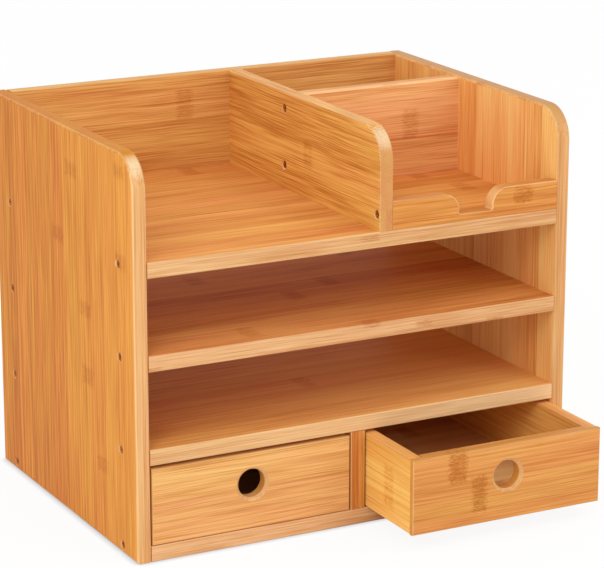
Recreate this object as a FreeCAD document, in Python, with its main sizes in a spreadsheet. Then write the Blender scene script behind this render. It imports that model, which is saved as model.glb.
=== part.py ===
import FreeCAD, Part
import os
import Sketcher

# Desk organizer in laminated bamboo: an open case with three trays, an upper storey
# divided for pens and note paper, and two drawers side by side at the bottom.
# X runs to the right, Y to the back, Z up. The origin is the centre of the case's
# footprint on the desk. Lengths are in millimetres.

os.makedirs("parts", exist_ok=True)
doc = FreeCAD.newDocument("desk_organizer")
sheet = doc.addObject("Spreadsheet::Sheet", "sizes")

SIZES = [
    # case
    ("case_width", "330", "over the side panels"),
    ("case_depth", "238", "front edge to rear edge"),
    ("panel_thickness", "10", "side panels"),
    ("shelf_thickness", "11", "bottom board and the three shelves"),
    ("drawer_bay_height", "56", "clear height of the drawer bays"),
    ("lower_tray_height", "53", "clear height of the lower tray"),
    ("upper_tray_height", "52", "clear height of the upper tray"),
    ("upper_wall_height", "70", "side panels above the top shelf"),
    ("panel_corner_radius", "23", "rounded top front corner of the upright boards"),
    ("panel_edge_round", "2", "eased edges of the side panels"),
    ("edge_round", "1", "eased edges of the other boards"),
    ("lip_chamfer", "0.8", "broken edges of the low front board"),
    # upper storey
    ("back_thickness", "10", "back board of the upper storey"),
    ("divider_thickness", "10", "upper divider"),
    ("left_tray_width", "170.5", "clear width left of the upper divider"),
    ("partition_thickness", "12", "board between pens and note paper"),
    ("partition_drop", "2", "partition's top below the panels' top"),
    ("pen_tray_depth", "82", "clear depth of the pen compartment"),
    ("lip_height", "20", "low front board of the note compartment"),
    ("lip_thickness", "10", "low front board of the note compartment"),
    ("notch_width", "26", "straight part of the finger notch"),
    ("notch_floor", "5", "wood left under the finger notch"),
    ("notch_shoulder_radius", "12", "round shoulders of the finger notch"),
    ("notch_foot_radius", "1.5", "lower corners of the finger notch"),
    # drawer bays
    ("drawer_divider_thickness", "11", "upright board between the drawers"),
    ("stop_depth", "10", "strip that stops the drawers, front to back"),
    ("stop_height", "9", "strip that stops the drawers"),
    # drawers
    ("drawer_side_gap", "0.9", "drawer to bay, each side"),
    ("drawer_top_gap", "2.4", "drawer to the shelf above it"),
    ("drawer_bottom_gap", "0.3", "drawer to the bottom board"),
    ("drawer_stop_gap", "0.3", "closed drawer to its stop"),
    ("drawer_front_thickness", "9", "front board"),
    ("drawer_front_lap", "4", "front board left over the ends of the sides"),
    ("drawer_side_thickness", "9", "side boards"),
    ("drawer_back_thickness", "9", "back board"),
    ("drawer_edge_round", "1.2", "eased edges of the drawer boards"),
    ("drawer_floor_thickness", "3", "floor panel"),
    ("drawer_floor_rise", "3.5", "under edge of the groove above the drawer's under edge"),
    ("groove_depth", "3", "groove for the floor panel"),
    ("groove_slack", "0.1", "floor panel to groove, each side"),
    ("finger_hole_diameter", "20", "finger hole in the drawer front"),
    ("finger_hole_chamfer", "2.2", "finger hole's edge at the face"),
    ("finger_hole_drop", "22", "finger hole's centre below the drawer's top edge"),
    ("right_drawer_opening", "64", "how far the right drawer stands open"),
    # countersunk holes for the assembly screws
    ("bore", "3.6", "screw hole"),
    ("countersink", "7.3", "screw hole at the face"),
    ("screw_inset", "25", "screw hole to the front or rear edge of the case"),
    ("bottom_screw_rise", "5.7", "screw holes of the bottom board above the desk"),
    ("back_screw_rise", "17", "lower screw holes of the upper boards above the top shelf"),
    ("back_screw_drop", "12", "upper screw holes of the upper boards below the panels' top"),
    ("lip_screw_rise", "11", "lip's screw hole above the top shelf"),
]

DERIVED = [
    ("half_width", "case_width / 2"),
    ("half_depth", "case_depth / 2"),
    ("inner_width", "case_width - 2 * panel_thickness"),
    ("half_inner_width", "inner_width / 2"),
    ("lower_shelf_z", "shelf_thickness + drawer_bay_height"),
    ("lower_tray_z", "lower_shelf_z + shelf_thickness"),
    ("middle_shelf_z", "lower_tray_z + lower_tray_height"),
    ("upper_tray_z", "middle_shelf_z + shelf_thickness"),
    ("top_shelf_z", "upper_tray_z + upper_tray_height"),
    ("upper_floor_z", "top_shelf_z + shelf_thickness"),
    ("case_height", "upper_floor_z + upper_wall_height"),
    ("back_front_y", "half_depth - back_thickness"),
    ("divider_x", "left_tray_width - half_inner_width"),
    ("divider_right_x", "divider_x + divider_thickness"),
    ("divider_depth", "case_depth - back_thickness"),
    ("note_width", "half_inner_width - divider_right_x"),
    ("half_note_width", "note_width / 2"),
    ("note_middle_x", "divider_right_x + half_note_width"),
    ("partition_height", "upper_wall_height - partition_drop"),
    ("partition_y", "back_front_y - pen_tray_depth - partition_thickness"),
    ("half_notch_width", "notch_width / 2"),
    ("notch_depth", "lip_height - notch_floor"),
    ("drawer_divider_depth", "case_depth - stop_depth"),
    ("half_drawer_divider", "drawer_divider_thickness / 2"),
    ("stop_y", "half_depth - stop_depth"),
    ("bay_width", "(inner_width - drawer_divider_thickness) / 2"),
    ("bay_middle_x", "(drawer_divider_thickness + bay_width) / 2"),
    ("drawer_width", "bay_width - 2 * drawer_side_gap"),
    ("half_drawer_width", "drawer_width / 2"),
    ("drawer_height", "drawer_bay_height - drawer_top_gap - drawer_bottom_gap"),
    ("drawer_length", "case_depth - stop_depth - drawer_stop_gap"),
    ("drawer_z", "shelf_thickness + drawer_bottom_gap"),
    ("drawer_inner_width", "drawer_width - 2 * drawer_side_thickness"),
    ("half_drawer_inner_width", "drawer_inner_width / 2"),
    ("drawer_back_y", "drawer_length - drawer_back_thickness"),
    ("finger_hole_z", "drawer_height - finger_hole_drop"),
    ("groove_height", "drawer_floor_thickness + 2 * groove_slack"),
    ("groove_top", "drawer_floor_rise + groove_height"),
    ("front_groove_y", "drawer_front_thickness - groove_depth"),
    ("back_groove_y", "drawer_back_y + groove_depth"),
    ("side_groove_x", "half_drawer_inner_width + groove_depth"),
    ("half_floor_width", "side_groove_x - groove_slack"),
    ("floor_y", "front_groove_y + groove_slack"),
    ("floor_rear_y", "back_groove_y - groove_slack"),
    ("floor_z", "drawer_floor_rise + groove_slack"),
    ("open_drawer_y", "half_depth + right_drawer_opening"),
    ("shelf_middle", "shelf_thickness / 2"),
    ("rear_screw_y", "case_depth - screw_inset"),
    ("lower_shelf_screw_z", "lower_shelf_z + shelf_middle"),
    ("middle_shelf_screw_z", "middle_shelf_z + shelf_middle"),
    ("top_shelf_screw_z", "top_shelf_z + shelf_middle"),
    ("upper_low_screw_z", "upper_floor_z + back_screw_rise"),
    ("upper_high_screw", "upper_wall_height - back_screw_drop"),
    ("upper_high_screw_z", "upper_floor_z + upper_high_screw"),
    ("back_screw_y", "case_depth - back_thickness / 2"),
    ("partition_screw_y", "partition_y + half_depth + partition_thickness / 2"),
    ("lip_screw_y", "lip_thickness / 2"),
]

row = 0
for alias, number, note in SIZES:
    row += 1
    sheet.set("A%d" % row, alias)
    sheet.set("B%d" % row, number)
    sheet.setAlias("B%d" % row, alias)
    sheet.set("C%d" % row, note)
for alias, formula in DERIVED:
    row += 1
    sheet.set("A%d" % row, alias)
    sheet.set("B%d" % row, "=" + formula)
    sheet.setAlias("B%d" % row, alias)
doc.recompute()


def size(alias):
    """The sheet's present value of one size."""
    return float(getattr(sheet, alias))


# How near two places are taken as one, as a share of the eased edges' radius.
NEAR_SHARE = 0.01
near = NEAR_SHARE * size("edge_round")


def new_body(name):
    """An empty body that carries the sub-part's name."""
    made = doc.addObject("PartDesign::Body", name)
    made.Label = name
    return made


def place(item, x=None, y=None, z=None, signs=(1, 1, 1)):
    """Moves an object to sizes of the sheet, each with its sign."""
    for axis, alias, sign in zip("xyz", (x, y, z), signs):
        if alias:
            text = "sizes." + alias if sign > 0 else "-sizes." + alias
            item.setExpression("Placement.Base." + axis, text)


def origin_plane(owner, role):
    """One of the body's own three planes."""
    for feature in owner.Origin.OriginFeatures:
        if feature.Role == role:
            return feature
    raise ValueError(role)


def new_sketch(owner, name, role, lift=None):
    """A sketch on one of the body's planes, lifted off it along its normal by a size."""
    made = owner.newObject("Sketcher::SketchObject", name)
    made.AttachmentSupport = [(origin_plane(owner, role), "")]
    made.MapMode = "FlatFace"
    if lift:
        sign, alias = lift
        made.setExpression("AttachmentOffset.Base.z", sign + "sizes." + alias)
    return made


def bind(sketch, constraint, alias, sign=""):
    """Adds one dimension to a sketch and ties it to the sheet."""
    index = sketch.addConstraint(constraint)
    sketch.setExpression("Constraints[%d]" % index, sign + "sizes." + alias)


def polygon(sketch, points):
    """A closed outline of upright and level lines through points named by sizes.

    Each point is a pair of (sign, alias); an alias of None lies on the axis."""
    def number(entry):
        sign, alias = entry
        return sign * size(alias) if alias else 0.0
    places = [FreeCAD.Vector(number(u), number(v), 0) for u, v in points]
    count = len(places)
    for index in range(count):
        sketch.addGeometry(Part.LineSegment(places[index], places[(index + 1) % count]))
    for index in range(count):
        after = (index + 1) % count
        sketch.addConstraint(Sketcher.Constraint("Coincident", index, 2, after, 1))
    for index in range(count):
        after = (index + 1) % count
        level = abs(places[index].y - places[after].y) < near
        sketch.addConstraint(Sketcher.Constraint("Horizontal" if level else "Vertical", index))
    done_u = set()
    done_v = set()
    for index in range(count):
        before = (index - 1) % count
        upright = abs(places[index].x - places[before].x) < near
        level = abs(places[index].y - places[before].y) < near
        for axis, done, same in (("X", done_u, upright), ("Y", done_v, level)):
            if same and before in done:
                done.add(index)
                continue
            after = (index + 1) % count
            if axis == "X":
                tied = abs(places[index].x - places[after].x) < near and after in done
            else:
                tied = abs(places[index].y - places[after].y) < near and after in done
            done.add(index)
            if tied:
                continue
            sign, alias = points[index][0 if axis == "X" else 1]
            if alias is None:
                line = -2 if axis == "X" else -1
                sketch.addConstraint(Sketcher.Constraint("PointOnObject", index, 1, line))
            else:
                start = sign * size(alias)
                made = Sketcher.Constraint("Distance" + axis, -1, 1, index, 1, start)
                bind(sketch, made, alias, "" if sign > 0 else "-")


def circles(sketch, centres, diameter):
    """Circles of one size with their centres at pairs of (sign, alias)."""
    for u, v in centres:
        at = FreeCAD.Vector(u[0] * size(u[1]) if u[1] else 0, v[0] * size(v[1]) if v[1] else 0, 0)
        ring = sketch.addGeometry(Part.Circle(at, FreeCAD.Vector(0, 0, 1), size(diameter) / 2))
        bind(sketch, Sketcher.Constraint("Diameter", ring, size(diameter)), diameter)
        for axis, (sign, alias), line in (("X", u, -2), ("Y", v, -1)):
            if alias:
                start = sign * size(alias)
                made = Sketcher.Constraint("Distance" + axis, -1, 1, ring, 3, start)
                bind(sketch, made, alias, "" if sign > 0 else "-")
            else:
                sketch.addConstraint(Sketcher.Constraint("PointOnObject", ring, 3, line))


def pad(owner, sketch, alias, both_ways=False, backwards=False):
    """Pads a sketch by a size, to one side or evenly to both."""
    made = owner.newObject("PartDesign::Pad", sketch.Name + "_pad")
    made.Profile = sketch
    made.setExpression("Length", "sizes." + alias)
    if both_ways:
        made.SideType = "Symmetric"
    made.Reversed = backwards
    doc.recompute()
    return made


def cut(owner, sketch, alias, both_ways=False):
    """Pockets a sketch by a size; a cut that misses the wood is turned round."""
    before = owner.Shape.Volume
    made = owner.newObject("PartDesign::Pocket", sketch.Name + "_cut")
    made.Profile = sketch
    made.setExpression("Length", "sizes." + alias)
    if both_ways:
        made.SideType = "Symmetric"
    doc.recompute()
    if made.Shape.isNull() or made.Shape.Volume > before - near ** 3:
        made.Reversed = True
        doc.recompute()
    if made.Shape.Volume > before - near ** 3:
        raise ValueError("nothing was cut by " + made.Name)
    return made


def countersunk(owner, sketch):
    """Countersunk screw holes right through the board from the sketch's side."""
    before = owner.Shape.Volume
    doc.recompute()
    made = owner.newObject("PartDesign::Hole", sketch.Name + "_holes")
    made.Profile = sketch
    made.Threaded = False
    made.HoleCutType = "Countersink"
    made.DepthType = "ThroughAll"
    made.DrillPoint = "Flat"
    made.setExpression("Diameter", "sizes.bore")
    made.HoleCutCountersinkAngle = 90
    made.setExpression("HoleCutDiameter", "sizes.countersink")
    doc.recompute()
    if made.Shape.isNull() or made.Shape.Volume > before - near ** 3:
        made.Reversed = True
        doc.recompute()
    if made.Shape.Volume > before - near ** 3:
        raise ValueError("nothing was cut by " + made.Name)
    return made


def spans(edge):
    """The least and greatest X, Y and Z of an edge."""
    box = edge.BoundBox
    return ((box.XMin, box.XMax), (box.YMin, box.YMax), (box.ZMin, box.ZMax))


def lies_in(edge, axis, level):
    """Whether a whole edge lies in the plane where one coordinate has one value."""
    low, high = spans(edge)[axis]
    return abs(low - level) < near and abs(high - level) < near


def ease(owner, alias, wanted, name, kind="Fillet"):
    """Rounds or breaks those edges of the body's present shape that a test picks."""
    base = owner.Tip
    picked = []
    for index, edge in enumerate(base.Shape.Edges):
        if wanted(edge):
            picked.append("Edge%d" % (index + 1))
    if not picked:
        raise ValueError("no edges for " + name)
    made = owner.newObject("PartDesign::" + kind, name)
    made.Base = (base, picked)
    made.setExpression("Radius" if kind == "Fillet" else "Size", "sizes." + alias)
    doc.recompute()
    return made


def board(name, outline, role, thickness):
    """A body padded evenly from nothing but its outline."""
    made = new_body(name)
    drawn = new_sketch(made, name + "_outline", role)
    polygon(drawn, outline)
    doc.recompute()
    pad(made, drawn, thickness)
    return made


def rectangle(width, height):
    """An outline from the local origin, by two sizes."""
    return [
        ((1, None), (1, None)),
        ((1, width), (1, None)),
        ((1, width), (1, height)),
        ((1, None), (1, height)),
    ]


def centred_rectangle(half, height):
    """An outline that lies evenly about the upright axis and stands on the level one."""
    return [
        ((-1, half), (1, None)),
        ((1, half), (1, None)),
        ((1, half), (1, height)),
        ((-1, half), (1, height)),
    ]


# Side panels. Each screw hole faces the middle of a board's end. Local X runs through the
# thickness, Y back from the front edge, Z up.

PANEL_SCREWS = [
    ("screw_inset", "bottom_screw_rise"),
    ("rear_screw_y", "bottom_screw_rise"),
    ("screw_inset", "lower_shelf_screw_z"),
    ("rear_screw_y", "lower_shelf_screw_z"),
    ("screw_inset", "middle_shelf_screw_z"),
    ("rear_screw_y", "middle_shelf_screw_z"),
    ("screw_inset", "top_shelf_screw_z"),
    ("rear_screw_y", "top_shelf_screw_z"),
    ("back_screw_y", "upper_low_screw_z"),
    ("back_screw_y", "upper_high_screw_z"),
]


def round_front_corner(owner, height, radius, name):
    """Rounds the top front corner of an upright board."""
    def at_corner(edge):
        return lies_in(edge, 1, 0) and lies_in(edge, 2, size(height))
    ease(owner, radius, at_corner, name)


def side_panel(name, outer):
    """A side panel with its round front corner, eased edges and countersunk holes."""
    made = board(name, rectangle("case_depth", "case_height"), "YZ_Plane", "panel_thickness")
    round_front_corner(made, "case_height", "panel_corner_radius", name + "_corner")
    thickness = size("panel_thickness")
    ease(made, "panel_edge_round",
         lambda edge: lies_in(edge, 0, 0) or lies_in(edge, 0, thickness), name + "_eased")
    lift = None if outer == "left" else ("", "panel_thickness")
    drawn = new_sketch(made, name + "_screw_places", "YZ_Plane", lift)
    circles(drawn, [((1, u), (1, v)) for u, v in PANEL_SCREWS], "bore")
    countersunk(made, drawn)
    return made


left_panel = side_panel("left_side_panel", "left")
place(left_panel, "half_width", "half_depth", None, (-1, -1, 1))
right_panel = side_panel("right_side_panel", "right")
place(right_panel, "half_inner_width", "half_depth", None, (1, -1, 1))


# Boards between the panels. Local X is measured from the middle, Y from the front, Z up.

def shelf(name, level):
    """A board that lies across the case, with eased front and rear edges."""
    made = board(name, centred_rectangle("half_inner_width", "case_depth"),
                 "XY_Plane", "shelf_thickness")
    ease(made, "edge_round",
         lambda edge: lies_in(edge, 1, 0) and edge.Length > size("shelf_thickness")
         or lies_in(edge, 1, size("case_depth")) and edge.Length > size("shelf_thickness"),
         name + "_eased")
    place(made, None, "half_depth", level, (1, -1, 1))
    return made


bottom_board = shelf("bottom_board", None)
lower_shelf = shelf("lower_shelf", "lower_shelf_z")
middle_shelf = shelf("middle_shelf", "middle_shelf_z")
top_shelf = shelf("top_shelf", "top_shelf_z")

# Back board of the upper storey. Local Y runs through the thickness to the rear.

back_board = new_body("back_board")
drawn = new_sketch(back_board, "back_board_outline", "XY_Plane")
polygon(drawn, centred_rectangle("half_inner_width", "back_thickness"))
doc.recompute()
pad(back_board, drawn, "upper_wall_height")
ease(back_board, "edge_round",
     lambda edge: lies_in(edge, 2, size("upper_wall_height")) and edge.Length > size("back_thickness"),
     "back_board_eased")
place(back_board, None, "back_front_y", "upper_floor_z")


# Upper divider. Local X runs through the thickness, Y back from the front edge, Z up.

upper_divider = board("upper_divider", rectangle("divider_depth", "upper_wall_height"),
                      "YZ_Plane", "divider_thickness")
round_front_corner(upper_divider, "upper_wall_height", "panel_corner_radius", "upper_divider_corner")


def open_edge(edge):
    """Edges of the divider's two faces along its front, its corner and its top."""
    in_face = lies_in(edge, 0, 0) or lies_in(edge, 0, size("divider_thickness"))
    at_rear = lies_in(edge, 1, size("divider_depth"))
    at_foot = lies_in(edge, 2, 0)
    return in_face and not at_rear and not at_foot


ease(upper_divider, "edge_round", open_edge, "upper_divider_eased")
drawn = new_sketch(upper_divider, "upper_divider_side_places", "YZ_Plane")
circles(drawn, [((1, "partition_screw_y"), (1, "back_screw_rise")),
                ((1, "partition_screw_y"), (1, "upper_high_screw")),
                ((1, "lip_screw_y"), (1, "lip_screw_rise"))], "bore")
countersunk(upper_divider, drawn)
place(upper_divider, "divider_x", "half_depth", "upper_floor_z", (1, -1, 1))


# Pen partition, across the right side. Local X from its middle, Y through its thickness.

pen_partition = new_body("pen_partition")
drawn = new_sketch(pen_partition, "pen_partition_outline", "XY_Plane")
polygon(drawn, centred_rectangle("half_note_width", "partition_thickness"))
doc.recompute()
pad(pen_partition, drawn, "partition_height")
ease(pen_partition, "edge_round",
     lambda edge: lies_in(edge, 2, size("partition_height"))
     and edge.Length > size("partition_thickness"), "pen_partition_eased")
place(pen_partition, "note_middle_x", "partition_y", "upper_floor_z")


# Note lip: a low board with a finger notch whose shoulders are round.

note_lip = new_body("note_lip")
drawn = new_sketch(note_lip, "note_lip_outline", "XY_Plane")
polygon(drawn, centred_rectangle("half_note_width", "lip_thickness"))
doc.recompute()
pad(note_lip, drawn, "lip_height")
drawn = new_sketch(note_lip, "note_lip_notch", "XY_Plane", ("", "lip_height"))
polygon(drawn, centred_rectangle("half_notch_width", "lip_thickness"))
doc.recompute()
cut(note_lip, drawn, "notch_depth")


def shoulder(edge):
    """The two edges where the notch meets the lip's top."""
    crosswise = edge.BoundBox.YLength > size("lip_thickness") - near
    at_side = abs(abs(edge.BoundBox.XMin) - size("half_notch_width")) < near
    return crosswise and at_side and lies_in(edge, 2, size("lip_height"))


def notch_foot(edge):
    """The two lower corners of the notch."""
    crosswise = edge.BoundBox.YLength > size("lip_thickness") - near
    at_side = abs(abs(edge.BoundBox.XMin) - size("half_notch_width")) < near
    return crosswise and at_side and lies_in(edge, 2, size("notch_floor"))


def lip_top_edge(edge):
    """The upper edges of both faces, down through the notch."""
    in_face = lies_in(edge, 1, 0) or lies_in(edge, 1, size("lip_thickness"))
    at_foot = lies_in(edge, 2, 0)
    at_end = lies_in(edge, 0, size("half_note_width")) or lies_in(edge, 0, -size("half_note_width"))
    return in_face and not at_foot and not at_end


ease(note_lip, "notch_shoulder_radius", shoulder, "note_lip_shoulders")
ease(note_lip, "notch_foot_radius", notch_foot, "note_lip_notch_feet")
ease(note_lip, "lip_chamfer", lip_top_edge, "note_lip_eased", "Chamfer")
place(note_lip, "note_middle_x", "half_depth", "upper_floor_z", (1, -1, 1))


# Drawer divider and the strip that stops the drawers.

drawer_divider = board("drawer_divider", rectangle("drawer_divider_depth", "drawer_bay_height"),
                       "YZ_Plane", "drawer_divider_thickness")
ease(drawer_divider, "edge_round",
     lambda edge: lies_in(edge, 1, 0) and edge.BoundBox.ZLength > size("drawer_divider_thickness"),
     "drawer_divider_eased")
place(drawer_divider, "half_drawer_divider", "half_depth", "shelf_thickness", (-1, -1, 1))

drawer_stop = board("drawer_stop", centred_rectangle("half_inner_width", "stop_depth"),
                    "XY_Plane", "stop_height")
place(drawer_stop, None, "stop_y", "shelf_thickness")


# Drawers. Local origin: middle of the front face's lower edge. The front board is rabbeted
# at both ends over the sides, and the floor panel lies in a groove all round.

def groove(owner, name, start, end):
    """A groove for the floor panel along the inner face of a front or back board."""
    drawn = new_sketch(owner, name + "_groove", "YZ_Plane")
    polygon(drawn, [
        ((1, start), (1, "drawer_floor_rise")),
        ((1, end), (1, "drawer_floor_rise")),
        ((1, end), (1, "groove_top")),
        ((1, start), (1, "groove_top")),
    ])
    doc.recompute()
    cut(owner, drawn, "drawer_width", True)


def drawer_front(name):
    """Front board with its end rabbets, floor groove, finger hole and eased edges."""
    made = new_body(name)
    drawn = new_sketch(made, name + "_plan", "XY_Plane")
    polygon(drawn, [
        ((-1, "half_drawer_width"), (1, None)),
        ((1, "half_drawer_width"), (1, None)),
        ((1, "half_drawer_width"), (1, "drawer_front_lap")),
        ((1, "half_drawer_inner_width"), (1, "drawer_front_lap")),
        ((1, "half_drawer_inner_width"), (1, "drawer_front_thickness")),
        ((-1, "half_drawer_inner_width"), (1, "drawer_front_thickness")),
        ((-1, "half_drawer_inner_width"), (1, "drawer_front_lap")),
        ((-1, "half_drawer_width"), (1, "drawer_front_lap")),
    ])
    doc.recompute()
    pad(made, drawn, "drawer_height")
    ease(made, "drawer_edge_round", lambda edge: lies_in(edge, 1, 0), name + "_eased")
    groove(made, name, "front_groove_y", "drawer_front_thickness")
    drawn = new_sketch(made, name + "_finger_hole", "XZ_Plane")
    circles(drawn, [((1, None), (1, "finger_hole_z"))], "finger_hole_diameter")
    doc.recompute()
    cut(made, drawn, "drawer_front_thickness")
    across = size("finger_hole_diameter")
    ease(made, "finger_hole_chamfer",
         lambda edge: lies_in(edge, 1, 0) and abs(edge.BoundBox.XLength - across) < near,
         name + "_finger_hole_rim", "Chamfer")
    return made


def drawer_side(name, side):
    """Side board with its floor groove and eased top edges."""
    made = new_body(name)
    drawn = new_sketch(made, name + "_plan", "XY_Plane")
    sign = -1 if side == "left" else 1
    polygon(drawn, [
        ((sign, "half_drawer_width"), (1, "drawer_front_lap")),
        ((sign, "half_drawer_inner_width"), (1, "drawer_front_lap")),
        ((sign, "half_drawer_inner_width"), (1, "drawer_length")),
        ((sign, "half_drawer_width"), (1, "drawer_length")),
    ])
    doc.recompute()
    pad(made, drawn, "drawer_height")
    ease(made, "drawer_edge_round",
         lambda edge: edge.BoundBox.YLength > size("drawer_side_thickness")
         and (lies_in(edge, 2, size("drawer_height"))
              or lies_in(edge, 2, 0) and lies_in(edge, 0, sign * size("half_drawer_width"))),
         name + "_eased")
    drawn = new_sketch(made, name + "_groove", "XZ_Plane")
    polygon(drawn, [
        ((sign, "half_drawer_inner_width"), (1, "drawer_floor_rise")),
        ((sign, "side_groove_x"), (1, "drawer_floor_rise")),
        ((sign, "side_groove_x"), (1, "groove_top")),
        ((sign, "half_drawer_inner_width"), (1, "groove_top")),
    ])
    doc.recompute()
    cut(made, drawn, "drawer_length")
    return made


def drawer_back(name):
    """Back board between the sides."""
    made = new_body(name)
    drawn = new_sketch(made, name + "_plan", "XY_Plane")
    polygon(drawn, [
        ((-1, "half_drawer_inner_width"), (1, "drawer_back_y")),
        ((1, "half_drawer_inner_width"), (1, "drawer_back_y")),
        ((1, "half_drawer_inner_width"), (1, "drawer_length")),
        ((-1, "half_drawer_inner_width"), (1, "drawer_length")),
    ])
    doc.recompute()
    pad(made, drawn, "drawer_height")
    ease(made, "drawer_edge_round",
         lambda edge: lies_in(edge, 2, size("drawer_height"))
         and edge.BoundBox.XLength > size("drawer_back_thickness"), name + "_eased")
    groove(made, name, "drawer_back_y", "back_groove_y")
    return made


def drawer_floor(name):
    """Thin floor panel that lies in the grooves."""
    made = new_body(name)
    drawn = new_sketch(made, name + "_plan", "XY_Plane", ("", "floor_z"))
    polygon(drawn, [
        ((-1, "half_floor_width"), (1, "floor_y")),
        ((1, "half_floor_width"), (1, "floor_y")),
        ((1, "half_floor_width"), (1, "floor_rear_y")),
        ((-1, "half_floor_width"), (1, "floor_rear_y")),
    ])
    doc.recompute()
    pad(made, drawn, "drawer_floor_thickness")
    return made


drawers = []
for side, x_sign, front_y in (("left", -1, "half_depth"), ("right", 1, "open_drawer_y")):
    pieces = [
        drawer_front(side + "_drawer_front"),
        drawer_side(side + "_drawer_left_side", "left"),
        drawer_side(side + "_drawer_right_side", "right"),
        drawer_back(side + "_drawer_back"),
        drawer_floor(side + "_drawer_floor"),
    ]
    for piece in pieces:
        place(piece, "bay_middle_x", front_y, "drawer_z", (x_sign, -1, 1))
    drawers += pieces


doc.recompute()
nodes = [
    left_panel, right_panel, bottom_board, lower_shelf, middle_shelf, top_shelf,
    back_board, upper_divider, pen_partition, note_lip, drawer_divider, drawer_stop,
] + drawers

for item in doc.Objects:
    if "Invalid" in item.State or "Error" in item.State:
        raise ValueError("not rebuilt: " + item.Name)
for node in nodes:
    shape = node.Shape
    if shape.isNull() or not shape.isValid():
        raise ValueError("bad shape: " + node.Label)
for node in nodes:
    node.Shape.exportStep("parts/%s.step" % node.Label)
    print(node.Label, len(node.Shape.Solids), round(node.Shape.Volume, 1))
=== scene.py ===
"""Desk organizer in laminated bamboo: finishes, screws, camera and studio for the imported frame.

The frame's boards keep their shapes. This script gives them their wood, sets the assembly
screws into their holes and lays out the stage. Lengths are in metres.
"""

from math import pi

import bpy
import numpy as np
from mathutils import Euler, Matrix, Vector


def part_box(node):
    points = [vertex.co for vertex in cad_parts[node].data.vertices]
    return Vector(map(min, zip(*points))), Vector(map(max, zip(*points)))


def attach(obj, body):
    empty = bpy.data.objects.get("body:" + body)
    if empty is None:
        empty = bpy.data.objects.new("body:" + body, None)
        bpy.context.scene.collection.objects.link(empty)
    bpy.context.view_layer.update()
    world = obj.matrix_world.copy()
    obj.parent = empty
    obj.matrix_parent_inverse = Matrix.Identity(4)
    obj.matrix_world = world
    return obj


bl_info = {
    "name": "Bamboo Desk Organizer",
    "version": (1, 0, 0),
    "blender": (4, 5, 0),
    "location": "3D View > Sidebar > Organizer",
    "description": "Finishes, screws and studio for a bamboo desk organizer with two drawers",
    "category": "Object",
}

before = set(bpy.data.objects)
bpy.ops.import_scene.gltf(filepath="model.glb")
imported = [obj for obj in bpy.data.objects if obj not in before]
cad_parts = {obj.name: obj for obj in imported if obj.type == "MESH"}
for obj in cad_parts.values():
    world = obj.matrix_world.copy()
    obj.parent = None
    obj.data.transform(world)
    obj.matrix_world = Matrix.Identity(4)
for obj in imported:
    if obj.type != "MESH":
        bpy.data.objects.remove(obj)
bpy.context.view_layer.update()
MM = 0.001


# Colours and nodes


def linear(code):
    """A hex sRGB colour as linear red, green, blue and a full alpha."""
    shown = np.array([int(code[i : i + 2], 16) for i in (1, 3, 5)]) / 255
    value = np.where(shown <= 0.04045, shown / 12.92, ((shown + 0.055) / 1.055) ** 2.4)
    return (*value, 1.0)


def add(tree, kind, settings=None, links=None):
    """Adds a node, with its settings or unlinked inputs, and the outputs that feed it."""
    node = tree.nodes.new(kind)
    for key, value in (settings or {}).items():
        if isinstance(key, int) or key in node.inputs:
            node.inputs[key].default_value = value
        else:
            setattr(node, key, value)
    for key, source in (links or {}).items():
        tree.links.new(source, node.inputs[key])
    return node


def new_material(name):
    """A new material and its empty node tree."""
    made = bpy.data.materials.new(name)
    made.use_nodes = True
    made.node_tree.nodes.clear()
    return made, made.node_tree


TONE_PLACES = (0.1, 0.38, 0.6, 0.9)
TONE_DEPTHS = (0.70, 0.91, 1.07, 1.22)
DEPTH_POWERS = (1.0, 1.8, 2.7)  # of red, green and blue, because deeper wood is redder
PALEST = 0.93


def tones(code):
    """Ramp stops from the darkest to the palest tone round one wood colour.

    Each of red, green and blue is scaled by a tone's depth raised to its own power."""
    middle = np.array(linear(code)[:3])
    depths = np.array(TONE_DEPTHS)[:, None]
    colours = np.clip(middle * depths ** np.array(DEPTH_POWERS), 0, PALEST)
    return [(place, (*colour, 1.0)) for place, colour in zip(TONE_PLACES, colours)]


def ramp(tree, source, stops):
    """A colour ramp through (place, linear colour) stops."""
    node = add(tree, "ShaderNodeValToRGB", links={"Fac": source})
    bar = node.color_ramp
    while len(bar.elements) < len(stops):
        bar.elements.new(1.0)
    for element, (place, colour) in zip(bar.elements, stops):
        element.position = place
        element.color = colour
    return node.outputs["Color"]


# Laminated bamboo. The turn brings a board's width to local X, its thickness to local Y
# and its grain to local Z, so that one recipe serves every board.

GRAIN_UP = (0.0, 0.0, -pi / 2)
GRAIN_ALONG_X_FLAT = (0.0, -pi / 2, -pi / 2)
GRAIN_ALONG_X_UPRIGHT = (0.0, -pi / 2, pi)
GRAIN_ALONG_Y = (pi / 2, 0.0, pi / 2)

STRIP_WIDTH = 22 * MM
LAYER_THICKNESS = 5 * MM
PHASE_SPREAD = 60.0  # gives each lamella a stretch of noise of its own
NOISE_ROUGHNESS = 0.6
FIBRE_WIDTH = 0.8 * MM  # real fibres are 0.2 mm; drawn at the width that still shows
PANEL_FIBRE_WIDTH = 1.2 * MM  # coarser still on the broad panel
FIBRE_LENGTH = 60 * MM
VEIN_WIDTH = 2.6 * MM
VEIN_LENGTH = 170 * MM
CLOUD_WIDTH = 14 * MM
CLOUD_LENGTH = 130 * MM
SWAY = 2.0 * MM  # how far fibres wander to the side
SWAY_WIDTH = 16 * MM
SWAY_LENGTH = 55 * MM
PANEL_SWAY = 0.8 * MM
KNOT_SPACING = 260 * MM
KNOT_HALF_LENGTH = 6 * MM
KNOT_SOFT = 3.5 * MM
KNOT_RAG = 8 * MM  # how unevenly a knot ends
KNOT_RAG_WIDTH = 2 * MM
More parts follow.
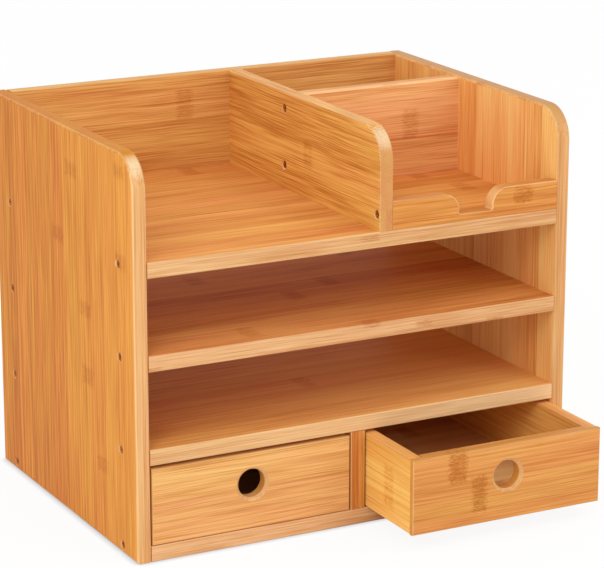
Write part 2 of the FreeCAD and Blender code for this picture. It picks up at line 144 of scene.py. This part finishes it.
KNOT_FLECK = 0.5 * MM  # coarser than real ones, so that they still show
KNOT_FLECK_LENGTH = 3.5 * MM
FLECK_RANGE = (0.25, 0.75)  # stretch of the noise between a fleck and clear wood
KNOT_SHADE = 0.74  # how dark a knot is in its flecks, as a share of its depth
KNOT_CONTRAST = 0.68  # how much paler it is between them
SEAM_HALF_SHARE = 0.012  # half a glue line's share of a strip
SEAM_SHADE = 0.3
MIDDLE_TONE = 0.54
EDGE_CALM = 0.15  # shares of the pattern that edges and end grain lose
END_CALM = 0.75
HUE_SPREAD = 0.008
CLOUD_HUE_SPREAD = 0.02
BUMP_STRENGTH = 0.2
BUMP_DEPTH = 0.06 * MM
LACQUER_IOR = 1.5

# Where each soft change starts and ends, on the share of the surface's normal that points
# along the board's thickness, its width or its grain.
OFF_FACE = (0.9, 0.3)
ON_END_GRAIN = (0.3, 0.7)
TURNED_OVER = (0.15, 0.95)
BEVEL_RISE = (0.3, 0.6)
BEVEL_FALL = (0.99, 0.85)
ROUND_CORNER = (0.25, 0.55)  # on the product of the shares along width and grain


def maths(tree, operation, first, second=None, third=None, clamp=False):
    """One sum on outputs or plain numbers."""
    settings = {"operation": operation, "use_clamp": clamp}
    links = {}
    for index, value in enumerate((first, second, third)):
        if value is None:
            continue
        if isinstance(value, (int, float)):
            settings[index] = value
        else:
            links[index] = value
    return add(tree, "ShaderNodeMath", settings, links).outputs[0]


def centred(tree, source, strength, base):
    """The base plus the source's distance from a half, times the strength."""
    if isinstance(base, (int, float)):
        return maths(tree, "MULTIPLY_ADD", source, strength, base - strength / 2)
    lowered = maths(tree, "SUBTRACT", base, strength / 2)
    return maths(tree, "MULTIPLY_ADD", source, strength, lowered)


def stretched_noise(tree, place, width, length, detail, nudge):
    """Noise drawn out along the grain; the nudge breaks it from strip to strip."""
    scale = add(tree, "ShaderNodeVectorMath",
                {"operation": "MULTIPLY", 1: (1 / width, 1 / width, 1 / length)}, {0: place})
    moved = add(tree, "ShaderNodeVectorMath", {"operation": "ADD"},
                {0: scale.outputs[0], 1: nudge})
    noise = add(tree, "ShaderNodeTexNoise",
                {"Scale": 1.0, "Detail": detail, "Roughness": NOISE_ROUGHNESS},
                {"Vector": moved.outputs[0]})
    return noise.outputs["Fac"]


def smooth_step(tree, source, low, high):
    """0 up to the low value, 1 from the high one and a soft rise between."""
    return add(tree, "ShaderNodeMapRange",
               {"interpolation_type": "SMOOTHSTEP", "From Min": low, "From Max": high},
               {"Value": source}).outputs[0]


def knot_band(tree, axes, ragged, centre, half_width, half_length):
    """1 inside a knot's oblong, falling softly to 0 at its ragged edges."""
    shares = []
    for index, half in ((0, half_width), (2, half_length)):
        off = maths(tree, "ABSOLUTE", maths(tree, "SUBTRACT", axes[index], centre[index]))
        off = maths(tree, "ADD", off, ragged)
        shares.append(maths(tree, "MULTIPLY_ADD", off, -1 / KNOT_SOFT, half / KNOT_SOFT + 0.5,
                            clamp=True))
    return maths(tree, "MULTIPLY", *shares)


def bamboo(name, turn, shift, wood, edge=None, ends=None, corner_highlight=None, knots=(),
           knot_share=0.4, knot_depth=0.42, strips=0.2, clouds=0.3, veins=0.5, fibres=1.2,
           fibre_width=FIBRE_WIDTH, sway=SWAY, light_slope=(0.0, 0.0, 0.0), arris=0.3,
           gloss=0.05, roughness=0.4):
    """Laminated bamboo, planed, sanded and clear lacquered: warm honey strips side by side,
    each with its own tone, drawn-out fibres and now and then a knot, under a satin sheen.

    wood is the face's colour, edge that of the narrow long edges and ends that of the end
    grain; corner_highlight is the colour of a painted highlight on a curved corner between them;
    knots are (x, y, z, half width, half length) in millimetres on the piece; knot_depth, strips,
    clouds, veins and fibres are each pattern's strength; sway is how far the fibres wander,
    light_slope the painted light and shade as a rise of tone per metre of local X, Y and Z, and
    arris the share of paler wood and painted highlight on the bevels.
    The shift, in metres, says where in the endless pattern the board is cut."""
    made, tree = new_material(name)
    texture = add(tree, "ShaderNodeTexCoord")
    place = add(tree, "ShaderNodeMapping", {"Rotation": turn, "Location": shift},
                {"Vector": texture.outputs["Object"]}).outputs[0]
    axes = add(tree, "ShaderNodeSeparateXYZ", links={0: place}).outputs
    # strip and layer numbers give each lamella its own random tone and phase
    in_strips = maths(tree, "DIVIDE", axes[0], STRIP_WIDTH)
    column = maths(tree, "FLOOR", in_strips)
    layer = maths(tree, "FLOOR", maths(tree, "DIVIDE", axes[1], LAYER_THICKNESS))
    cell = add(tree, "ShaderNodeCombineXYZ", links={0: column, 1: layer})
    chance = add(tree, "ShaderNodeTexWhiteNoise", {"noise_dimensions": "3D"},
                 {"Vector": cell.outputs[0]})
    random = add(tree, "ShaderNodeSeparateColor", links={0: chance.outputs["Color"]}).outputs
    nudge = add(tree, "ShaderNodeVectorMath", {"operation": "SCALE", "Scale": PHASE_SPREAD},
                {0: chance.outputs["Color"]}).outputs[0]
    wander = stretched_noise(tree, place, SWAY_WIDTH, SWAY_LENGTH, 1.0, nudge)
    aside = add(tree, "ShaderNodeCombineXYZ", links={0: centred(tree, wander, sway, 0.0)})
    swayed = add(tree, "ShaderNodeVectorMath", {"operation": "ADD"},
                 {0: place, 1: aside.outputs[0]}).outputs[0]
    fibre = stretched_noise(tree, swayed, fibre_width, FIBRE_LENGTH, 2.0, nudge)
    vein = stretched_noise(tree, swayed, VEIN_WIDTH, VEIN_LENGTH, 3.0, nudge)
    cloud = stretched_noise(tree, place, CLOUD_WIDTH, CLOUD_LENGTH, 1.0, nudge)
    # strip tone, a fall of tone across each strip, clouds, veins and fibres make one grey
    tone = centred(tree, random[0], strips, 0.5)
    within = maths(tree, "FRACT", in_strips)
    tone = maths(tree, "MULTIPLY_ADD", centred(tree, within, strips, 0.0),
                 centred(tree, random[1], 2.0, 0.0), tone)
    tone = centred(tree, cloud, clouds, tone)
    tone = centred(tree, vein, veins, tone)
    tone = centred(tree, fibre, fibres, tone)
    # painted light and shade: the tone rises or falls slowly across the board, as the light does
    painted_light_lean = add(tree, "ShaderNodeVectorMath", {"operation": "DOT_PRODUCT", 1: light_slope}, {0: place})
    tone = maths(tree, "ADD", tone, painted_light_lean.outputs["Value"])
    # glue line between strips, darker at some than at others
    off_seam = maths(tree, "PINGPONG", within, 0.5)
    seam = maths(tree, "LESS_THAN", off_seam, SEAM_HALF_SHARE)
    tone = maths(tree, "MULTIPLY_ADD", seam, maths(tree, "MULTIPLY", random[2], -SEAM_SHADE), tone)
    # knots: a short speckled band across one strip
    along = maths(tree, "ADD", maths(tree, "DIVIDE", axes[2], KNOT_SPACING), random[1])
    to_knot = maths(tree, "MULTIPLY", maths(tree, "ABSOLUTE", maths(
        tree, "SUBTRACT", maths(tree, "FRACT", along), 0.5)), KNOT_SPACING)
    has_knot = maths(tree, "LESS_THAN", random[2], knot_share)
    rag = stretched_noise(tree, place, KNOT_RAG_WIDTH, KNOT_RAG_WIDTH, 2.0, nudge)
    ragged = centred(tree, rag, KNOT_RAG, 0.0)
    to_knot = maths(tree, "ADD", to_knot, ragged)
    band = maths(tree, "MULTIPLY_ADD", to_knot, -1 / KNOT_SOFT, KNOT_HALF_LENGTH / KNOT_SOFT + 0.5,
                 clamp=True)
    band = maths(tree, "MULTIPLY", band, has_knot)
    to_mapped = Euler(turn).to_matrix()
    for *spot, half_width, half_length in knots:
        centre = to_mapped @ (Vector(spot) * MM) + Vector(shift)
        band = maths(tree, "MAXIMUM", band,
                     knot_band(tree, axes, ragged, centre, half_width * MM, half_length * MM))
    fleck = stretched_noise(tree, place, KNOT_FLECK, KNOT_FLECK_LENGTH, 2.0, nudge)
    fleck = smooth_step(tree, fleck, *FLECK_RANGE)
    flecks = maths(tree, "MULTIPLY_ADD", fleck, KNOT_CONTRAST * knot_depth,
                   -KNOT_SHADE * knot_depth)
    tone = maths(tree, "MULTIPLY_ADD", flecks, band, tone, clamp=True)
    normal = add(tree, "ShaderNodeMapping", {"vector_type": "NORMAL", "Rotation": turn},
                 {"Vector": texture.outputs["Normal"]}).outputs[0]
    facing = [maths(tree, "ABSOLUTE", axis) for axis in
              add(tree, "ShaderNodeSeparateXYZ", links={0: normal}).outputs]
    # the pattern is calmer on the narrow edges and calmest on end grain
    off_face = maths(tree, "MULTIPLY", smooth_step(tree, facing[1], *OFF_FACE), EDGE_CALM)
    calm = maths(tree, "MULTIPLY_ADD", smooth_step(tree, facing[2], *ON_END_GRAIN),
                 END_CALM - EDGE_CALM, off_face)
    tone = maths(tree, "MULTIPLY_ADD", maths(tree, "SUBTRACT", MIDDLE_TONE, tone), calm, tone)
    colour = ramp(tree, tone, tones(wood))
    # a sanded arris or a countersink's cone shows paler wood, with a painted highlight laid on it
    # as well
    sloped = maths(tree, "MULTIPLY", smooth_step(tree, facing[1], *BEVEL_RISE),
                   smooth_step(tree, facing[1], *BEVEL_FALL))
    # painted highlight: a curved corner between edge and end grain is made pale where the lamps
    # would glint on it
    corner = maths(tree, "MULTIPLY", facing[0], facing[2])
    for share, shown in ((smooth_step(tree, facing[0], *TURNED_OVER), edge),
                         (smooth_step(tree, facing[2], *TURNED_OVER), ends),
                         (smooth_step(tree, corner, *ROUND_CORNER), corner_highlight),
                         (maths(tree, "MULTIPLY", sloped, arris), PALE_AND_HIGHLIGHT_WOOD)):
        if shown:
            colour = add(tree, "ShaderNodeMix", {"data_type": "RGBA"},
                         {0: share, 6: colour, 7: ramp(tree, tone, tones(shown))}).outputs[2]
    # some strips lean to yellow and others to red
    hue = centred(tree, cloud, CLOUD_HUE_SPREAD, centred(tree, random[2], HUE_SPREAD, 0.5))
    colour = add(tree, "ShaderNodeHueSaturation", links={"Hue": hue, "Color": colour}).outputs[0]
    bump = add(tree, "ShaderNodeBump", {"Strength": BUMP_STRENGTH, "Distance": BUMP_DEPTH},
               {"Height": fibre}).outputs[0]
    shader = add(tree, "ShaderNodeBsdfPrincipled",
                 {"Roughness": roughness, "IOR": LACQUER_IOR, "Specular IOR Level": gloss},
                 {"Base Color": colour, "Normal": bump})
    add(tree, "ShaderNodeOutputMaterial", links={"Surface": shader.outputs[0]})
    return made


# Wood colours, one for each cut of bamboo; the right panel's is a paler copy that paints in light,
# and PALE_AND_HIGHLIGHT_WOOD is a painted highlight.
PANEL_WOOD = "#D58834"
# paler than the left panel's wood to make up for the shade on its inner face: painted light
RIGHT_PANEL_LIT_WOOD = "#F4B368"
EDGE_WOOD = "#CF945D"
LEFT_TOP_WOOD = "#C97A11"
RIGHT_TOP_WOOD = "#C38D57"
# painted highlight on curved corners; on bevels, paler wood with a painted highlight
PALE_AND_HIGHLIGHT_WOOD = "#DFBC92"
SHELF_WOOD = "#DE9650"
SHELF_EDGE_WOOD = "#D8A673"
BACK_WOOD = "#D79B55"
DIVIDER_WOOD = "#DFA050"
DIVIDER_END_WOOD = "#C98C52"
DIVIDER_EDGE_WOOD = "#DFA25B"
PARTITION_WOOD = "#E4A469"
PARTITION_EDGE_WOOD = "#E8A868"
LIP_WOOD = "#CE8743"
LIP_END_WOOD = "#E8B070"
DRAWER_WOOD = "#DEA463"
RIGHT_DRAWER_WOOD = "#D18D4B"
FRONT_END_WOOD = "#D29244"
SIDE_WOOD = "#F7BA65"
SIDE_EDGE_WOOD = "#E8A55C"
UPRIGHT_WOOD = "#CB8742"
FLOOR_WOOD = "#E9B374"


# Knots that show: x, y, z, half width across the strip and half length along the grain, mm.
LEFT_PANEL_KNOTS = (
    (-165, -19, 247, 9, 5), (-165, -39, 155, 9, 5), (-165, -41, 109, 9, 6), (-165, -64, 53, 9, 5),
    (-165, -99, 202, 8, 5), (-165, -98, 262, 8, 4), (-165, 6, 197, 9, 5),
)
DIVIDER_KNOTS = ((15.5, -15, 236, 9, 6),)
LIP_KNOTS = ((128, -119, 218, 6, 7),)
RIGHT_FRONT_KNOTS = ((41, -183, 54, 10, 6.5), (58, -183, 33, 12, 5))
SIDE_KNOTS = ((6.4, -150, 36, 14, 6),)


# Screws: heights over the floor, over the foot of the upper storey or under its top, and
# the parts of one screw.
SCREW_RISE = 5.7 * MM
BACK_SCREW_RISE = 17 * MM
BACK_SCREW_DROP = 12 * MM
LIP_SCREW_RISE = 11 * MM
HEAD_RINGS = 22
INNER_RING = 0.04  # of the head's radius
TIP_SHARE = 0.06  # of the shank's diameter
RECESS_SOFT = 0.12 * MM
RECESS_FOOT = 0.3  # share of the recess's depth that is left at its shallowest
FIRST_SPIN = 0.4
NEXT_SPIN = 1.9
# the dark brown is partly painted shade: it makes the screw head look like the shaded hole
DARK_METAL_AND_SHADE = "#8A4612"
PALE_METAL = "#C67C34"
MOTTLE_WIDTH = 0.6 * MM

FLOOR_PAPER = "#FAFAFA"
FLOOR_HALF_WIDTH = 6.0
FLOOR_WHITE = 0.91  # share of plain white in the floor as the camera sees it
CONTACT_REACH = 5 * MM  # width of the painted contact shadow round what stands on the floor
CONTACT_TONE = 0.4

LIGHTS_AIM = (0.0, 0.0, 0.14)
KEY_PLACE, KEY_WIDTH = (-1.6, -1.4, 1.6), 1.2
FILL_PLACE, FILL_WIDTH = (1.0, -1.9, 0.75), 0.4
TOP_PLACE, TOP_WIDTH = (0.75, -0.6, 1.6), 0.4

# The camera's place and turn, found from the photograph's perspective.
CAMERA_PLACE = (-0.84809, -1.66159, 0.66514)
CAMERA_YAW = 0.48089
CAMERA_PITCH = 0.27377
SENSOR_WIDTH = 36.0
FOCAL_SHARE = 4.52373  # focal length over the picture's width


def screw_metal():
    """Yellow-passivated steel: a thin brass-coloured plating, half bright, mottled by noise
    between pale brass and a dark brown that is partly the plating's tone and partly painted shade
    of the countersunk hole."""
    made, tree = new_material("yellow passivated steel")
    texture = add(tree, "ShaderNodeTexCoord")
    mottle = add(tree, "ShaderNodeTexNoise", {"Scale": 1 / MOTTLE_WIDTH, "Detail": 2.0},
                {"Vector": texture.outputs["Object"]}).outputs["Fac"]
    colour = ramp(tree, mottle, [(0.3, linear(DARK_METAL_AND_SHADE)), (0.7, linear(PALE_METAL))])
    shader = add(tree, "ShaderNodeBsdfPrincipled", {"Metallic": 1.0, "Roughness": 0.5},
                 {"Base Color": colour})
    add(tree, "ShaderNodeOutputMaterial", links={"Surface": shader.outputs[0]})
    return made


# Sizes that a user would change


def length(label, about, value):
    """A length property in metres."""
    return bpy.props.FloatProperty(name=label, description=about, default=value, min=0.0,
                                   unit="LENGTH", subtype="DISTANCE", precision=4)


def power(label, about, value):
    """A light's power in watts."""
    return bpy.props.FloatProperty(name=label, description=about, default=value, min=0.0,
                                   unit="POWER")


class OrganizerScrews(bpy.types.PropertyGroup):
    """Sizes of the countersunk assembly screws."""

    head: length("Head", "Diameter of the countersunk head", 5.8 * MM)
    shank: length("Shank", "Diameter of the shank", 3.5 * MM)
    length: length("Length", "Length over all", 30 * MM)
    sink: length("Sink", "Head below the board's face", 0.8 * MM)
    slot: length("Slot", "Width of the cross recess's slots", 1.0 * MM)
    span: length("Span", "Cross recess from tip to tip", 3.9 * MM)
    recess: length("Recess", "Depth of the cross recess", 1.5 * MM)
    inset: length("Inset", "Screw to the front or rear edge of the case", 25 * MM)


class OrganizerStudio(bpy.types.PropertyGroup):
    """Light and floor of the studio."""

    key: power("Key", "Power of the front light", 16.0)
    fill: power("Fill", "Power of the light beside the camera", 4.5)
    top: power("Top", "Power of the overhead light", 1.8)
    sky: bpy.props.FloatProperty(name="Sky", description="Strength of the light all round",
                                 default=0.92, min=0.0)
    floor: bpy.props.FloatVectorProperty(name="Floor", description="Colour of the floor",
                                         default=linear(FLOOR_PAPER)[:3], size=3,
                                         subtype="COLOR", min=0.0, max=1.0)


# Meshes


def mesh_object(name, points, faces, material):
    """A smooth-shaded object at the origin from arrays of points and faces."""
    mesh = bpy.data.meshes.new(name)
    mesh.from_pydata(points.tolist(), [], faces)
    mesh.polygons.foreach_set("use_smooth", np.ones(len(mesh.polygons), bool))
    mesh.materials.append(material)
    mesh.update()
    made = bpy.data.objects.new(name, mesh)
    bpy.context.scene.collection.objects.link(made)
    return made


def screw_shape(head, shank, total, slot, span, recess, turns=64):
    """One countersunk screw with its head's top at the origin, pointing along +Z.

    The surface is a profile turned about Z: rings run out over the flat head, down the 45
    degree cone and along the shank to its point. On the head each point sinks by the
    recess's depth times a smooth step that is 1 inside the cross, where the smaller of |x|
    and |y| is under half a slot and the larger under half the span. The recess gets
    shallower away from its middle."""
    flat = np.linspace(INNER_RING, 1.0, HEAD_RINGS) * head / 2
    cone_foot = (head - shank) / 2
    radius = np.concatenate([flat, [shank / 2, shank / 2, shank / 2, shank * TIP_SHARE]])
    height = np.concatenate([np.zeros(len(flat)), [cone_foot, total / 2, total - shank, total]])
    angle = np.linspace(0, 2 * pi, turns, endpoint=False)
    x = radius[:, None] * np.cos(angle)
    y = radius[:, None] * np.sin(angle)
    z = np.repeat(height[:, None], turns, axis=1)
    small = np.minimum(abs(x), abs(y)) - slot / 2
    large = np.maximum(abs(x), abs(y)) - span / 2
    outside = np.maximum(small, large)
    step = np.clip(0.5 - outside / (2 * RECESS_SOFT), 0, 1)
    step = step * step * (3 - 2 * step)
    taper = np.clip(1 - np.maximum(abs(x), abs(y)) / span, RECESS_FOOT, 1)
    on_head = (np.arange(len(radius)) < len(flat) - 2)[:, None]
    z = z + on_head * step * recess * taper
    rings = np.stack([x, y, z], axis=-1).reshape(-1, 3)
    first = [0, 0, z[0].mean()]
    last = [0, 0, total]
    points = np.concatenate([rings, [first, last]])
    here = np.arange(len(radius) - 1)[:, None] * turns
    now = np.arange(turns)
    then = (now + 1) % turns
    quads = np.stack([here + now, here + turns + now, here + turns + then, here + then], axis=-1)
    faces = quads.reshape(-1, 4).tolist()
    top, tip = len(rings), len(rings) + 1
    base = (len(radius) - 1) * turns
    faces += np.stack([np.full(turns, top), now, then], axis=-1).tolist()
    faces += np.stack([np.full(turns, tip), base + then, base + now], axis=-1).tolist()
    return points, faces


def screw_row(name, places, direction, sizes, material):
    """Screws in one piece; each is turned by its own angle and points along the direction,
    which is level."""
    points, faces = screw_shape(sizes.head, sizes.shank, sizes.length, sizes.slot, sizes.span,
                                sizes.recess)
    axis = np.array(direction, float)
    side = np.cross(axis, [0.0, 0.0, 1.0])
    other = np.cross(axis, side)
    all_points, all_faces = [], []
    for index, place in enumerate(places):
        spin = FIRST_SPIN + NEXT_SPIN * index
        u = side * np.cos(spin) + other * np.sin(spin)
        v = -side * np.sin(spin) + other * np.cos(spin)
        turned = points @ np.stack([u, v, axis]) + np.array(place)
        start = index * len(points)
        all_points.append(turned)
        all_faces += [[corner + start for corner in face] for face in faces]
    made = mesh_object(name, np.concatenate(all_points), all_faces, material)
    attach(made, "case")


# Operators


def put_on(name, material):
    """Gives one CAD node its material."""
    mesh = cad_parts[name].data
    mesh.materials.clear()
    mesh.materials.append(material)


class ORGANIZER_OT_case(bpy.types.Operator):
    """Gives the case's boards their bamboo"""

    bl_idname = "organizer.case"
    bl_label = "Finish Case"

    def execute(self, context):
        # light_slope darkens the left panel towards its rear: painted fall-off of the front light
        left = bamboo("laminated bamboo, left panel", GRAIN_UP, (0.004, 0.0, 0.03),
                      PANEL_WOOD, EDGE_WOOD, LEFT_TOP_WOOD, PALE_AND_HIGHLIGHT_WOOD,
                      knots=LEFT_PANEL_KNOTS, knot_share=0.0, knot_depth=0.45,
                      strips=0.2, clouds=0.15, veins=0.4, fibres=1.4,
                      fibre_width=PANEL_FIBRE_WIDTH, sway=PANEL_SWAY, light_slope=(-1.3, 0.0, 0.0))
        right = bamboo("laminated bamboo, right panel", GRAIN_UP, (0.01, 0.0, 0.4),
                       RIGHT_PANEL_LIT_WOOD, EDGE_WOOD, RIGHT_TOP_WOOD, strips=0.3, knot_share=0.2,
                       sway=PANEL_SWAY)
        # light_slope darkens the level boards slowly towards their right ends: painted shade
        shelf = bamboo("laminated bamboo, level board", GRAIN_ALONG_X_FLAT, (0.0, 0.001, 0.0),
                       SHELF_WOOD, SHELF_EDGE_WOOD, light_slope=(0.0, 0.0, -0.35), gloss=0.02,
                       roughness=0.5)
        # the lower shelf is a lit copy of the level board: its light_slope brightens the right end
        # with painted bounce light
        low_shelf = bamboo("laminated bamboo, lower shelf", GRAIN_ALONG_X_FLAT,
                           (0.003, 0.001, 0.11), SHELF_WOOD, SHELF_EDGE_WOOD,
                           light_slope=(0.0, 0.0, 1.3), gloss=0.02, roughness=0.5)
        back = bamboo("laminated bamboo, back board", GRAIN_ALONG_X_UPRIGHT, (0.0, 0.0, 0.0),
                      BACK_WOOD, knot_share=0.2, strips=0.14, fibres=1.5)
        partition = bamboo("laminated bamboo, partition", GRAIN_ALONG_X_UPRIGHT,
                           (0.01, 0.0, 0.05), PARTITION_WOOD, PARTITION_EDGE_WOOD, fibres=1.3)
        divider = bamboo("laminated bamboo, upper divider", GRAIN_ALONG_Y, (0.0, 0.0, 0.0),
                         DIVIDER_WOOD, DIVIDER_EDGE_WOOD, DIVIDER_END_WOOD, PALE_AND_HIGHLIGHT_WOOD,
                         knots=DIVIDER_KNOTS, knot_share=0.0, fibres=2.0)
        lip = bamboo("laminated bamboo, note lip", GRAIN_ALONG_X_UPRIGHT, (0.01, 0.0, 0.1),
                     LIP_WOOD, ends=LIP_END_WOOD, knots=LIP_KNOTS, knot_share=0.0,
                     knot_depth=0.6)
        upright = bamboo("laminated bamboo, drawer divider", GRAIN_UP, (0.0, 0.0, 0.2),
                         UPRIGHT_WOOD)
        finishes = {
            left: ("left_side_panel",),
            right: ("right_side_panel",),
            shelf: ("bottom_board", "middle_shelf", "top_shelf"),
            low_shelf: ("lower_shelf",),
            back: ("back_board", "drawer_stop"),
            partition: ("pen_partition",),
            divider: ("upper_divider",),
            lip: ("note_lip",),
            upright: ("drawer_divider",),
        }
        for material, names in finishes.items():
            for name in names:
                put_on(name, material)
        return {"FINISHED"}


class ORGANIZER_OT_drawers(bpy.types.Operator):
    """Gives the drawers' boards their bamboo"""

    bl_idname = "organizer.drawers"
    bl_label = "Finish Drawers"

    def execute(self, context):
        for side, shift, wood in (("left", 0.07, DRAWER_WOOD), ("right", 0.31, RIGHT_DRAWER_WOOD)):
            front = bamboo("laminated bamboo, %s drawer front" % side, GRAIN_ALONG_X_UPRIGHT,
                           (shift, 0.0, shift), wood, ends=FRONT_END_WOOD, knot_share=0.0,
                           knots=RIGHT_FRONT_KNOTS if side == "right" else (),
                           knot_depth=0.8, strips=0.15, clouds=0.2, veins=0.3, fibres=1.15,
                           arris=0.35)
            long_side = bamboo("laminated bamboo, %s drawer sides" % side, GRAIN_ALONG_Y,
                               (shift, 0.0, shift), SIDE_WOOD, SIDE_EDGE_WOOD,
                               knots=SIDE_KNOTS if side == "right" else (), knot_share=0.0,
                               knot_depth=0.4, veins=0.35, fibres=0.9)
            put_on(side + "_drawer_front", front)
            put_on(side + "_drawer_back", front)
            put_on(side + "_drawer_left_side", long_side)
            put_on(side + "_drawer_right_side", long_side)
        floor = bamboo("bamboo plywood, drawer floor", GRAIN_ALONG_X_FLAT, (0.0, 0.0, 0.0),
                       FLOOR_WOOD, veins=0.3, fibres=0.4)
        put_on("left_drawer_floor", floor)
        put_on("right_drawer_floor", floor)
        return {"FINISHED"}


class ORGANIZER_OT_screws(bpy.types.Operator):
    """Sets the countersunk screws into their holes"""

    bl_idname = "organizer.screws"
    bl_label = "Set Screws"

    def execute(self, context):
        sizes = context.scene.organizer_screws
        metal = screw_metal()
        low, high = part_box("left_side_panel")
        front, rear = low.y + sizes.inset, high.y - sizes.inset
        levels = [SCREW_RISE]
        for name in ("lower_shelf", "middle_shelf", "top_shelf"):
            under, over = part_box(name)
            levels.append((under.z + over.z) / 2)
        places = [(y, z) for z in levels for y in (front, rear)]
        behind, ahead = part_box("back_board")
        back_middle = (behind.y + ahead.y) / 2
        floor_level = behind.z
        upper = (floor_level + BACK_SCREW_RISE, high.z - BACK_SCREW_DROP)
        places += [(back_middle, z) for z in upper]
        outer = low.x + sizes.sink
        screw_row("left_panel_screws", [(outer, y, z) for y, z in places], (1, 0, 0), sizes,
                  metal)
        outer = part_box("right_side_panel")[1].x - sizes.sink
        screw_row("right_panel_screws", [(outer, y, z) for y, z in places], (-1, 0, 0), sizes,
                  metal)
        near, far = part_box("pen_partition")
        lip_near, lip_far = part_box("note_lip")
        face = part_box("upper_divider")[0].x + sizes.sink
        places = [(face, (near.y + far.y) / 2, z) for z in upper]
        places.append((face, (lip_near.y + lip_far.y) / 2, floor_level + LIP_SCREW_RISE))
        screw_row("divider_screws", places, (1, 0, 0), sizes, metal)
        return {"FINISHED"}


def area_light(name, place, width, watts):
    """A square soft white light that faces the middle of the object."""
    data = bpy.data.lights.new(name, "AREA")
    data.shape = "SQUARE"
    data.size = width
    data.energy = watts
    made = bpy.data.objects.new(name, data)
    made.location = place
    towards = Vector(LIGHTS_AIM) - Vector(place)
    made.rotation_euler = towards.to_track_quat("-Z", "Y").to_euler()
    bpy.context.scene.collection.objects.link(made)


def seen_share(tree):
    """1 on what the camera sees, straight, mirrored or through glass, and 0 elsewhere."""
    path = add(tree, "ShaderNodeLightPath").outputs
    seen = maths(tree, "ADD", path["Is Camera Ray"], path["Is Glossy Ray"])
    return maths(tree, "ADD", seen, path["Is Transmission Ray"], clamp=True)


class ORGANIZER_OT_stage(bpy.types.Operator):
    """Lays out the floor, the lights, the world and the camera"""

    bl_idname = "organizer.stage"
    bl_label = "Lay Out Stage"

    def execute(self, context):
        scene = context.scene
        studio = scene.organizer_studio
        # floor: matt white paper; the camera sees it lifted towards white, so that only the
        # object's soft shadow is left on it
        made, tree = new_material("matt white studio paper")
        paper = add(tree, "ShaderNodeBsdfPrincipled",
                    {"Base Color": (*studio.floor, 1.0), "Roughness": 0.9,
                     "Specular IOR Level": 0.0})
        # painted contact shadow: the glow dims to a thin dark line where something stands on it,
        # as under a large soft light
        open_sky = add(tree, "ShaderNodeAmbientOcclusion",
                       {"Distance": CONTACT_REACH, "samples": 8}).outputs["AO"]
        white = maths(tree, "MULTIPLY_ADD", open_sky, 1.0 - CONTACT_TONE, CONTACT_TONE)
        glow = add(tree, "ShaderNodeEmission", links={"Strength": white})
        share = maths(tree, "MULTIPLY", seen_share(tree), FLOOR_WHITE)
        both = add(tree, "ShaderNodeMixShader",
                   links={0: share, 1: paper.outputs[0], 2: glow.outputs[0]})
        add(tree, "ShaderNodeOutputMaterial", links={"Surface": both.outputs[0]})
        corners = np.array([[-1, -1, 0], [1, -1, 0], [1, 1, 0], [-1, 1, 0]]) * FLOOR_HALF_WIDTH
        floor = mesh_object("floor", corners, [[0, 1, 2, 3]], made)
        # world: even light all round, white where it is seen
        world = bpy.data.worlds.new("studio")
        world.use_nodes = True
        tree = world.node_tree
        tree.nodes.clear()
        strength = maths(tree, "MULTIPLY_ADD", seen_share(tree), 1.0 - studio.sky, studio.sky)
        light = add(tree, "ShaderNodeBackground", {"Color": (1, 1, 1, 1)},
                    {"Strength": strength})
        add(tree, "ShaderNodeOutputWorld", links={"Surface": light.outputs[0]})
        scene.world = world
        area_light("key_light", KEY_PLACE, KEY_WIDTH, studio.key)
        area_light("fill_light", FILL_PLACE, FILL_WIDTH, studio.fill)
        area_light("top_light", TOP_PLACE, TOP_WIDTH, studio.top)
        data = bpy.data.cameras.new("camera")
        data.sensor_width = SENSOR_WIDTH
        data.lens = SENSOR_WIDTH * FOCAL_SHARE
        camera = bpy.data.objects.new("camera", data)
        camera.location = CAMERA_PLACE
        camera.rotation_euler = (pi / 2 - CAMERA_PITCH, 0.0, -CAMERA_YAW)
        scene.collection.objects.link(camera)
        scene.camera = camera
        scene.view_settings.view_transform = "Standard"
        return {"FINISHED"}


class ORGANIZER_PT_panel(bpy.types.Panel):
    """Steps of the organizer in the sidebar"""

    bl_idname = "ORGANIZER_PT_panel"
    bl_label = "Desk Organizer"
    bl_space_type = "VIEW_3D"
    bl_region_type = "UI"
    bl_category = "Organizer"

    def draw(self, context):
        for step in STEPS:
            self.layout.operator(step.bl_idname)
        for group in (context.scene.organizer_screws, context.scene.organizer_studio):
            box = self.layout.box()
            for key in group.bl_rna.properties.keys():
                if key not in ("rna_type", "name"):
                    box.prop(group, key)


STEPS = (ORGANIZER_OT_case, ORGANIZER_OT_drawers, ORGANIZER_OT_screws, ORGANIZER_OT_stage)
CLASSES = (OrganizerScrews, OrganizerStudio, *STEPS, ORGANIZER_PT_panel)


def register():
    """Registers the classes and hangs the two groups of settings on the scene."""
    for item in CLASSES:
        bpy.utils.register_class(item)
    bpy.types.Scene.organizer_screws = bpy.props.PointerProperty(type=OrganizerScrews)
    bpy.types.Scene.organizer_studio = bpy.props.PointerProperty(type=OrganizerStudio)


def unregister():
    """Takes back what register() added."""
    del bpy.types.Scene.organizer_studio
    del bpy.types.Scene.organizer_screws
    for item in reversed(CLASSES):
        bpy.utils.unregister_class(item)


def main():
    """Runs every step in order."""
    register()
    bpy.ops.organizer.case()
    bpy.ops.organizer.drawers()
    bpy.ops.organizer.screws()
    bpy.ops.organizer.stage()


if __name__ == "__main__":
    main()
